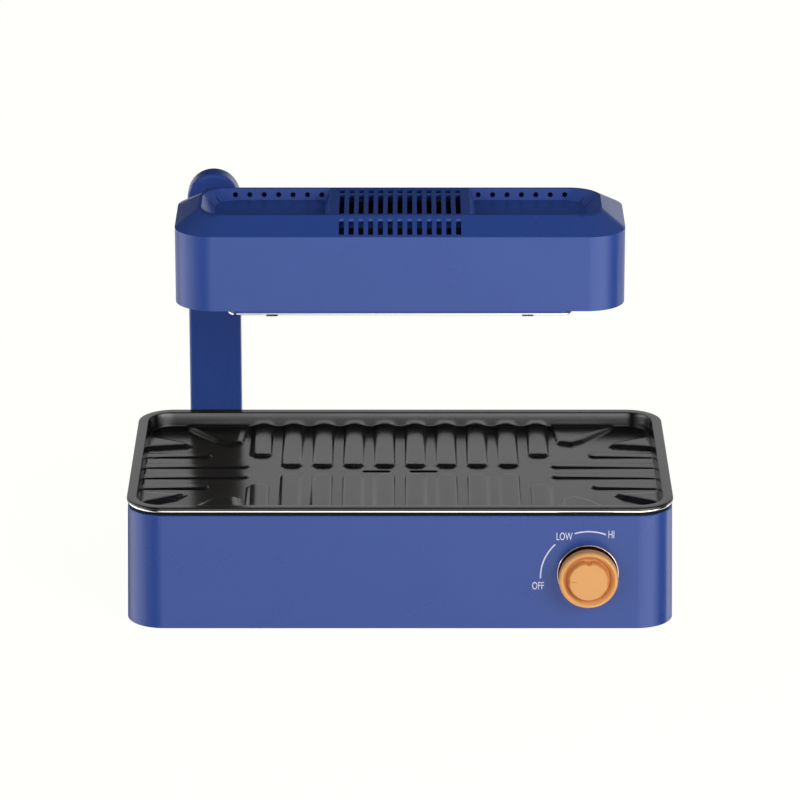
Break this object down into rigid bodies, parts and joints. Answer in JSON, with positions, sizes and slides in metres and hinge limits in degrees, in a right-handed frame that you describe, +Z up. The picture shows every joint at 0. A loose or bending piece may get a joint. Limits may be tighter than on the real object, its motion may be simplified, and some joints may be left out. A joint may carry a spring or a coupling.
{
  "type": "smokeless indoor grill",
  "caption": "Countertop infrared grill: ribbed pan and drip tray on a low base, with a vented heater head on a side arm that flips up, and one control knob.",
  "frame": {"origin": "on the standing plane, under the centre of the pan", "axes": "+X to the right along the pan's length, +Y to the back towards the arm, +Z up"},
  "size_m": [0.4314, 0.282, 0.3168],
  "materials": {
    "blue_plastic": "satin blue moulded heat-resistant plastic",
    "black_coating": "cast aluminium with a black non-stick coating",
    "polished_tray": "polished stainless sheet",
    "black_rubber": "matt black silicone",
    "copper_knob": "plastic plated in a copper-gold tone",
    "black_plastic": "matt black plastic",
    "zinc_steel": "zinc-plated steel",
    "brass_parts": "turned brass",
    "polished_wire": "polished stainless wire",
    "bright_reflector": "bright aluminium sheet",
    "quartz": "clear quartz tube",
    "ceramic_holder": "unglazed white ceramic",
    "carbon_strip": "dark emitter strip with metal end plugs"
  },
  "bodies": {
    "base": {"base_shell": "blue_plastic", "base_plate": "zinc_steel", "base_plate_screws": "zinc_steel", "foot_1": "black_rubber", "foot_2": "black_rubber", "foot_3": "black_rubber", "foot_4": "black_rubber", "partition_plate": "zinc_steel", "partition_screws": "zinc_steel", "seat_ring": "black_rubber", "knob_bezel": "copper_knob", "rotary_switch": "black_plastic", "switch_nut": "brass_parts", "power_inlet": "black_plastic", "inlet_pins": "brass_parts", "inlet_screws": "zinc_steel", "terminal_block": "black_plastic", "arm_bracket": "zinc_steel", "arm_bolt_1": "zinc_steel", "arm_bolt_2": "zinc_steel", "arm_bolt_3": "zinc_steel", "arm_bolt_4": "zinc_steel", "arm_core": "zinc_steel", "arm_front_shell": "blue_plastic", "arm_rear_cover": "blue_plastic", "arm_cover_screw_1": "zinc_steel", "arm_cover_screw_2": "zinc_steel", "hinge_bush": "brass_parts", "stop_pin": "zinc_steel"},
    "knob": {"control_knob": "copper_knob", "knob_cap": "copper_knob", "switch_shaft": "brass_parts"},
    "tray": {"drip_tray": "polished_tray"},
    "pan": {"grill_pan": "black_coating"},
    "head": {"head_shell": "blue_plastic", "head_frame": "blue_plastic", "frame_screws": "zinc_steel", "guard_grid": "polished_wire", "guard_clips": "polished_wire", "guard_screws": "zinc_steel", "reflector": "bright_reflector", "tube_holder_left": "ceramic_holder", "tube_holder_right": "ceramic_holder", "heater_tube_1": "quartz", "heater_tube_2": "quartz", "heater_tube_3": "quartz", "emitter_strips": "carbon_strip", "thermal_limiter": "zinc_steel", "heat_shield": "zinc_steel", "shield_screws": "zinc_steel", "fan_frame": "black_plastic", "fan_screws": "zinc_steel", "head_bracket": "zinc_steel", "bracket_screws": "zinc_steel", "hinge_neck": "blue_plastic", "hinge_shaft": "zinc_steel", "stop_disc": "zinc_steel", "hinge_nut": "zinc_steel"},
    "fan": {"fan_impeller": "black_plastic"}
  },
  "joints": [
    {"name": "head_flip", "type": "hinge", "parent": "base", "child": "head", "pos_m": [-0.1524, 0.122, 0.2827], "axis": [0, -1, 0], "range_deg": [0, 90]},
    {"name": "knob_turn", "type": "hinge", "parent": "base", "child": "knob", "pos_m": [0.1474, -0.12075, 0.0483], "axis": [0, 1, 0], "range_deg": [0, 120]},
    {"name": "fan_spin", "type": "hinge", "parent": "head", "child": "fan", "pos_m": [0, 0, 0.287], "axis": [0, 0, 1], "continuous": true},
    {"name": "drip_tray_lift", "type": "slide", "parent": "base", "child": "tray", "axis": [0, 0, 1], "range_m": [0, 0.05]},
    {"name": "pan_lift", "type": "slide", "parent": "tray", "child": "pan", "axis": [0, 0, 1], "range_m": [0, 0.06]}
  ]
}
